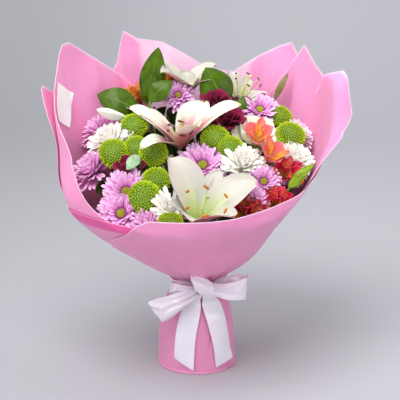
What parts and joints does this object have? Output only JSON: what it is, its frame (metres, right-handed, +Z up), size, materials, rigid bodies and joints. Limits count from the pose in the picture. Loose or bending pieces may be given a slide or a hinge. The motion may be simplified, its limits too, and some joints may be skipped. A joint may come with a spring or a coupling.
{
  "type": "wrapped flower bouquet",
  "caption": "Mixed bouquet of lilies, chrysanthemums and leaves in flared pink paper with a satin bow, standing on its gathered paper foot.",
  "frame": {"origin": "centre of the flat base of the paper foot", "axes": "+Z up out of the wrap, -Y towards the front, where the bow is, +X to the right seen from the front"},
  "size_m": [0.3853, 0.3052, 0.422],
  "materials": {
    "wrap": "matte",
    "satin": "satin",
    "label": "matte",
    "stem": "matte",
    "string": "matte",
    "leaf": "semi-gloss",
    "lily": "matte",
    "bud": "matte",
    "lilac": "matte",
    "blush": "matte",
    "white": "matte",
    "green": "matte",
    "coral": "matte",
    "red": "matte",
    "crimson": "matte",
    "gold": "matte",
    "cream": "matte",
    "anther": "matte"
  },
  "bodies": {
    "root": {"binding_string": "string", "blush_mum_right_edge": "blush", "coral_alstroemeria": "coral", "cream_rose": "cream", "crimson_alstroemeria": "crimson", "crimson_carnation_left": "crimson", "crimson_carnations": "crimson", "gold_alstroemeria_left": "gold", "gold_alstroemeria_right": "gold", "green_button_front": "green", "green_button_lower_left": "green", "green_button_upper_left": "green", "green_buttons_center": "green", "green_buttons_left": "green", "green_buttons_middle": "green", "green_buttons_right": "green", "label": "label", "leaf_left": "leaf", "leaf_middle": "leaf", "leaf_narrow": "leaf", "leaf_pale": "leaf", "leaf_right": "leaf", "leaf_square": "leaf", "leaf_upright": "leaf", "leaves_tall": "leaf", "lilac_mum_back": "lilac", "lilac_mum_center": "lilac", "lilac_mum_left_edge": "lilac", "lilac_mum_left_front": "lilac", "lilac_mum_left_low": "lilac", "lilac_mum_left_rim": "lilac", "lilac_mum_left_top": "lilac", "lilac_mum_low_rim": "lilac", "lilac_mum_lower_back": "lilac", "lilac_mum_lower_right": "lilac", "lilac_mum_right": "lilac", "lily_back_left": "lily", "lily_back_right": "lily", "lily_bud_left": "bud", "lily_front": "lily", "lily_front_stamens": "anther", "lily_middle": "lily", "lily_middle_stamens": "anther", "paper_foot": "wrap", "red_alstroemeria": "red", "ribbon_band": "satin", "ribbon_bow": "satin", "stem_bundle": "stem", "white_mum_center": "white", "white_mum_front": "white", "white_mum_left": "white", "white_mum_right": "white", "wrap_back_sheet": "wrap", "wrap_front_sheet": "wrap", "wrap_left_flap": "wrap", "wrap_left_fold": "wrap", "wrap_left_sheet": "wrap", "wrap_right_flap": "wrap"}
  },
  "joints": []
}
